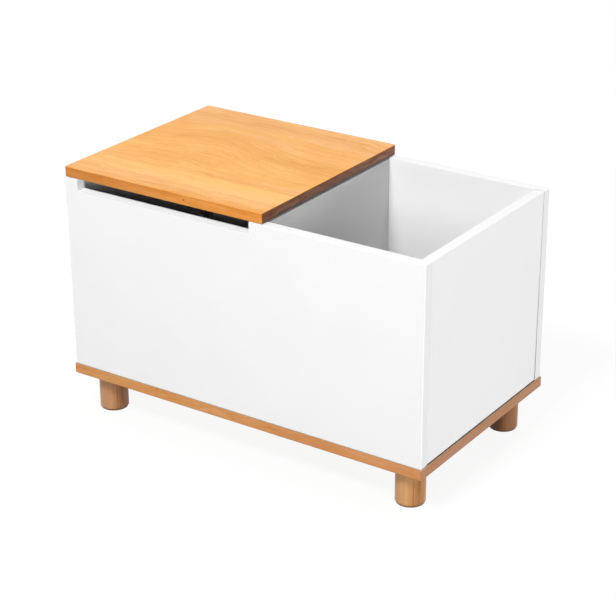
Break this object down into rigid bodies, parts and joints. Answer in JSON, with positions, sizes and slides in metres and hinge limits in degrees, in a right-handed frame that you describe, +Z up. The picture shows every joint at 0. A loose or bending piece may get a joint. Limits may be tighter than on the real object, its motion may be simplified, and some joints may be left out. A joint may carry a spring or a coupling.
{
  "type": "toy box",
  "caption": "Low storage box on round wooden legs: white board walls, a wood-grain base, a back-hinged lid with a finger slot over the left compartment, and an open bin on the right.",
  "frame": {"origin": "on the floor under the middle of the footprint", "axes": "+X along the box from the lidded compartment to the open one, +Y from the front to the hinged back, +Z up"},
  "size_m": [0.7, 0.4037, 0.45],
  "materials": {
    "white_board": "white melamine on chipboard, satin",
    "woodgrain_board": "warm oak-coloured wood-grain foil on board, satin",
    "turned_wood": "clear-lacquered solid wood",
    "dowel_wood": "raw beech",
    "felt": "pressed felt",
    "white_plastic": "moulded, matt",
    "nylon": "natural nylon",
    "silicone": "clear soft silicone",
    "zinc_plate": "bright zinc plating",
    "steel_plate": "nickel-plated steel strip"
  },
  "bodies": {
    "carcass": {"front_panel": "white_board", "back_panel": "white_board", "left_panel": "white_board", "right_panel": "white_board", "divider_panel": "white_board", "base_panel": "woodgrain_board", "leg_front_left": "turned_wood", "leg_front_right": "turned_wood", "leg_back_left": "turned_wood", "leg_back_right": "turned_wood", "leg_bolts": "zinc_plate", "leg_inserts": "zinc_plate", "foot_pads": "felt", "cam_discs": "zinc_plate", "cam_bolts": "zinc_plate", "cam_caps": "white_plastic", "wooden_dowels": "dowel_wood", "base_screws": "zinc_plate", "hinge_left_base_leaf": "steel_plate", "hinge_left_pin": "steel_plate", "hinge_right_base_leaf": "steel_plate", "hinge_right_pin": "steel_plate", "hinge_base_screws": "steel_plate", "stay_wall_plate": "steel_plate", "stay_wall_screws": "steel_plate", "stay_stud": "zinc_plate", "stay_washers": "nylon", "stay_nut": "zinc_plate"},
    "lid": {"lid_panel": "woodgrain_board", "lid_bumpers": "silicone", "hinge_left_lid_leaf": "steel_plate", "hinge_right_lid_leaf": "steel_plate", "hinge_lid_screws": "steel_plate", "stay_rivet": "zinc_plate", "stay_lid_bracket": "steel_plate", "stay_lid_screws": "steel_plate"},
    "stay": {"stay_arm": "steel_plate"}
  },
  "joints": [
    {"name": "lid_hinge", "type": "hinge", "parent": "carcass", "child": "lid", "pos_m": [-0.148, 0.201, 0.4315], "axis": [-1, 0, 0], "range_deg": [0, 90]},
    {"name": "stay_swing", "type": "hinge", "parent": "lid", "child": "stay", "pos_m": [-0.3237, 0.09183, 0.418], "axis": [-1, 0, 0], "range_deg": [-46, 1]}
  ],
  "couplings": [
    {"joint": "stay_swing", "follows": "lid_hinge", "ratio": -0.5}
  ]
}
